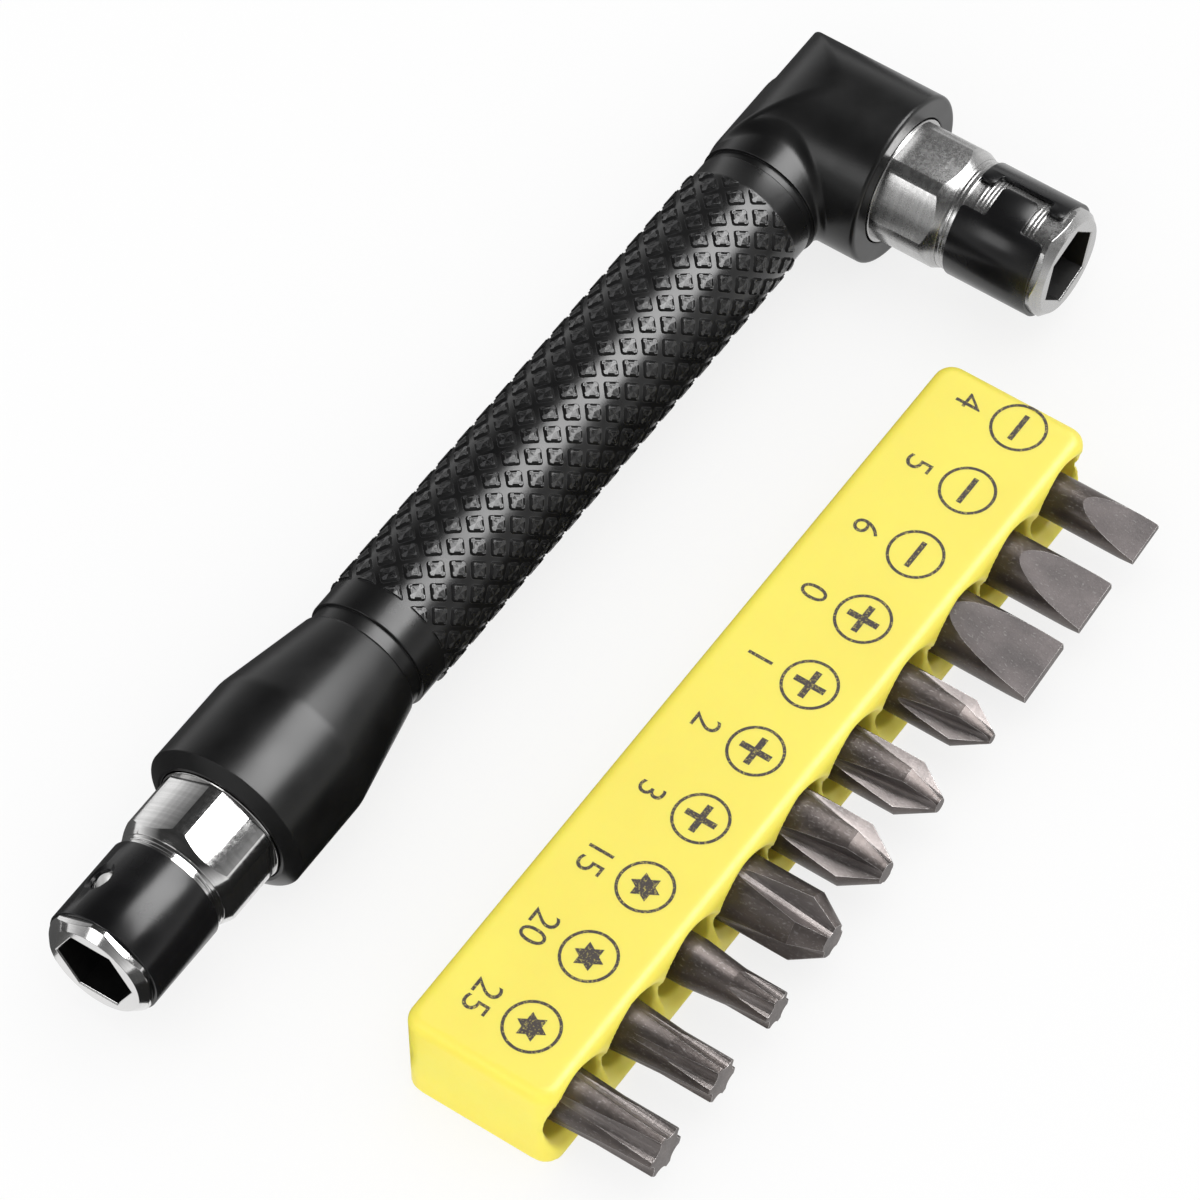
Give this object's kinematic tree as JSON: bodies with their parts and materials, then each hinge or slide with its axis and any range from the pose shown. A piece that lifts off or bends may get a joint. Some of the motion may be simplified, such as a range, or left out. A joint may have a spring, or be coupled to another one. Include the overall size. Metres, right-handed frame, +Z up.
{
  "type": "offset screwdriver set",
  "caption": "L-shaped offset screwdriver with a knurled grip and a hexagon bit socket at each end, beside a strip that holds slotted, cross and six-lobe bits.",
  "frame": {"origin": "centre of the straight socket's mouth, on the handle's axis", "axes": "+Y along the handle to the head, +X the way the angled socket points, +Z up from the table"},
  "size_m": [0.0535, 0.1118, 0.0162],
  "materials": {
    "socket_steel": "bright turned plating",
    "band_black": "satin black",
    "ball_steel": "polished",
    "body_black": "semi-gloss black",
    "grip_black": "semi-gloss black knurl",
    "rod_steel": "plain",
    "strip_yellow": "satin moulded",
    "bit_steel": "dark phosphated"
  },
  "bodies": {
    "wrench": {"straight_socket": "socket_steel", "angle_socket": "socket_steel", "straight_spring_band": "band_black", "angle_spring_band": "band_black", "nose_cone": "body_black", "grip_sleeve": "grip_black", "elbow_head": "body_black", "core_rod": "rod_steel"},
    "straight_ball": {"straight_detent_ball": "ball_steel"},
    "angle_ball": {"angle_detent_ball": "ball_steel"},
    "strip": {"bit_strip": "strip_yellow"},
    "slot_4_bit": {"bit_slot_4": "bit_steel"},
    "slot_5_bit": {"bit_slot_5": "bit_steel"},
    "slot_6_bit": {"bit_slot_6": "bit_steel"},
    "cross_0_bit": {"bit_cross_0": "bit_steel"},
    "cross_1_bit": {"bit_cross_1": "bit_steel"},
    "cross_2_bit": {"bit_cross_2": "bit_steel"},
    "cross_3_bit": {"bit_cross_3": "bit_steel"},
    "lobe_15_bit": {"bit_lobe_15": "bit_steel"},
    "lobe_20_bit": {"bit_lobe_20": "bit_steel"},
    "lobe_25_bit": {"bit_lobe_25": "bit_steel"}
  },
  "joints": [
    {"name": "straight_ball_press", "type": "slide", "parent": "wrench", "child": "straight_ball", "axis": [-0.5299, 0, 0.848], "range_m": [0, 0.00032], "stiffness_N_per_m": 2000, "springref_m": -0.0005, "deforming": ["straight_spring_band"]},
    {"name": "angle_ball_press", "type": "slide", "parent": "wrench", "child": "angle_ball", "axis": [0, 0.682, -0.7314], "range_m": [0, 0.00032], "stiffness_N_per_m": 2000, "springref_m": -0.0005, "deforming": ["angle_spring_band"]},
    {"name": "strip_lift", "type": "slide", "parent": "wrench", "child": "strip", "axis": [0, 0, 1], "range_m": [0, 0.03]},
    {"name": "slot_4_pull", "type": "slide", "parent": "strip", "child": "slot_4_bit", "axis": [1, 0, 0], "range_m": [0, 0.016]},
    {"name": "slot_5_pull", "type": "slide", "parent": "strip", "child": "slot_5_bit", "axis": [1, 0, 0], "range_m": [0, 0.016]},
    {"name": "slot_6_pull", "type": "slide", "parent": "strip", "child": "slot_6_bit", "axis": [1, 0, 0], "range_m": [0, 0.016]},
    {"name": "cross_0_pull", "type": "slide", "parent": "strip", "child": "cross_0_bit", "axis": [1, 0, 0], "range_m": [0, 0.016]},
    {"name": "cross_1_pull", "type": "slide", "parent": "strip", "child": "cross_1_bit", "axis": [1, 0, 0], "range_m": [0, 0.016]},
    {"name": "cross_2_pull", "type": "slide", "parent": "strip", "child": "cross_2_bit", "axis": [1, 0, 0], "range_m": [0, 0.016]},
    {"name": "cross_3_pull", "type": "slide", "parent": "strip", "child": "cross_3_bit", "axis": [1, 0, 0], "range_m": [0, 0.016]},
    {"name": "lobe_15_pull", "type": "slide", "parent": "strip", "child": "lobe_15_bit", "axis": [1, 0, 0], "range_m": [0, 0.016]},
    {"name": "lobe_20_pull", "type": "slide", "parent": "strip", "child": "lobe_20_bit", "axis": [1, 0, 0], "range_m": [0, 0.016]},
    {"name": "lobe_25_pull", "type": "slide", "parent": "strip", "child": "lobe_25_bit", "axis": [1, 0, 0], "range_m": [0, 0.016]}
  ]
}
